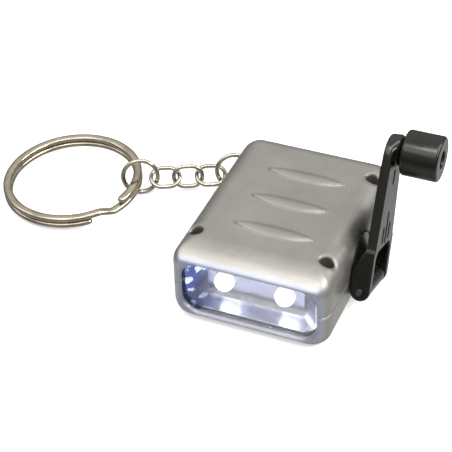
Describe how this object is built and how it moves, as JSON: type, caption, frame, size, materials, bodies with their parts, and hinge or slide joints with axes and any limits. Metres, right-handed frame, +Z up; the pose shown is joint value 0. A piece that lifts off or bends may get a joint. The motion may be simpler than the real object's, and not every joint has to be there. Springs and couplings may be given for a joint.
{
  "type": "hand crank key chain torch",
  "caption": "Palm-sized crank-powered torch: silver rounded case with a lamp window, folding black crank with turning knob, and a chain with split key ring.",
  "frame": {"origin": "middle of the flat bottom face of the case", "axes": "+Z up, lamp window towards -Y, crank on the +X side"},
  "size_m": [0.12, 0.0575, 0.0436],
  "materials": {
    "case_silver": "satin silver lacquer on moulded plastic",
    "crank_black": "satin black moulded plastic",
    "clear_window": "clear moulded plastic",
    "reflector_chrome": "vacuum metallised",
    "lamp_clear": "clear lamp resin",
    "board_green": "solder mask",
    "steel": "plain",
    "chain_nickel": "nickel plate",
    "ring_nickel": "nickel plate",
    "brass": "plain",
    "gear_white": "moulded",
    "magnet_dark": "sintered",
    "copper_wire": "enamelled wire"
  },
  "bodies": {
    "case": {"shell_top": "case_silver", "shell_bottom": "case_silver", "front_lens": "clear_window", "reflector": "reflector_chrome", "led_left": "lamp_clear", "led_right": "lamp_clear", "led_board": "board_green", "switch_body": "crank_black", "cell": "steel", "cell_contact_outer": "brass", "cell_contact_inner": "brass", "shaft_bush": "brass", "gear_plate_outer": "steel", "gear_plate_inner": "steel", "plate_pillars": "steel", "arbor_first": "steel", "arbor_second": "steel", "stator_can": "steel", "coil_bobbin": "gear_white", "coil_winding": "copper_wire", "case_screws": "steel"},
    "crank": {"crank_hub": "crank_black", "crank_shaft": "steel", "shaft_clip": "steel", "drive_gear": "gear_white", "hinge_pin": "steel"},
    "arm": {"crank_arm": "crank_black", "knob_axle": "steel"},
    "knob": {"crank_knob": "crank_black"},
    "gear_one": {"compound_first": "gear_white"},
    "gear_two": {"compound_second": "gear_white"},
    "rotor": {"rotor_shaft": "steel", "rotor_pinion": "brass", "rotor_magnet": "magnet_dark"},
    "switch": {"switch_slider": "crank_black"},
    "tab_ring": {"ring_body": "chain_nickel"},
    "link_c": {"chain_link_c": "chain_nickel"},
    "link_b": {"chain_link_b": "chain_nickel"},
    "link_a": {"chain_link_a": "chain_nickel"},
    "jump_ring": {"ring_key": "chain_nickel"},
    "key_loop": {"key_ring": "ring_nickel"}
  },
  "joints": [
    {"name": "crank_spin", "type": "hinge", "parent": "case", "child": "crank", "pos_m": [0.02, -0.0021, 0.0104], "axis": [1, 0, 0], "continuous": true},
    {"name": "arm_fold", "type": "hinge", "parent": "crank", "child": "arm", "pos_m": [0.0228, -0.00362, 0.00585], "axis": [0, 0.9483, -0.3173], "range_deg": [0, 180]},
    {"name": "knob_spin", "type": "hinge", "parent": "arm", "child": "knob", "pos_m": [0.027, 0.00717, 0.03809], "axis": [1, 0, 0], "continuous": true},
    {"name": "gear_one_spin", "type": "hinge", "parent": "case", "child": "gear_one", "pos_m": [0.009, 0.0069, 0.0104], "axis": [1, 0, 0], "continuous": true},
    {"name": "gear_two_spin", "type": "hinge", "parent": "case", "child": "gear_two", "pos_m": [0.007, 0.0159, 0.0104], "axis": [1, 0, 0], "continuous": true},
    {"name": "rotor_spin", "type": "hinge", "parent": "case", "child": "rotor", "pos_m": [0, 0.0069, 0.0104], "axis": [1, 0, 0], "continuous": true},
    {"name": "switch_slide", "type": "slide", "parent": "case", "child": "switch", "axis": [0, 1, 0], "range_m": [0, 0.0024]},
    {"name": "tab_ring_swing", "type": "hinge", "parent": "case", "child": "tab_ring", "pos_m": [-0.0207, 0.02865, 0.0056], "axis": [0, 0, 1], "range_deg": [-25, 10]},
    {"name": "link_c_swing", "type": "hinge", "parent": "tab_ring", "child": "link_c", "pos_m": [-0.02807, 0.02521, 0.005], "axis": [0, 0, 1], "range_deg": [-20, 10]},
    {"name": "link_b_swing", "type": "hinge", "parent": "link_c", "child": "link_b", "pos_m": [-0.03333, 0.02276, 0.0044], "axis": [0, 0, 1], "range_deg": [-20, 10]},
    {"name": "link_a_swing", "type": "hinge", "parent": "link_b", "child": "link_a", "pos_m": [-0.03886, 0.02018, 0.0044], "axis": [0, 0, 1], "range_deg": [-20, 10]},
    {"name": "jump_ring_swing", "type": "hinge", "parent": "link_a", "child": "jump_ring", "pos_m": [-0.04427, 0.01766, 0.00475], "axis": [0, 0, 1], "range_deg": [-20, 10]},
    {"name": "key_loop_swing", "type": "hinge", "parent": "jump_ring", "child": "key_loop", "pos_m": [-0.04848, 0.01584, 0.0034], "axis": [0, 0, 1], "range_deg": [-8, 8]}
  ],
  "couplings": [
    {"joint": "gear_one_spin", "follows": "crank_spin", "ratio": -3},
    {"joint": "gear_two_spin", "follows": "crank_spin", "ratio": 9},
    {"joint": "rotor_spin", "follows": "crank_spin", "ratio": -27}
  ]
}
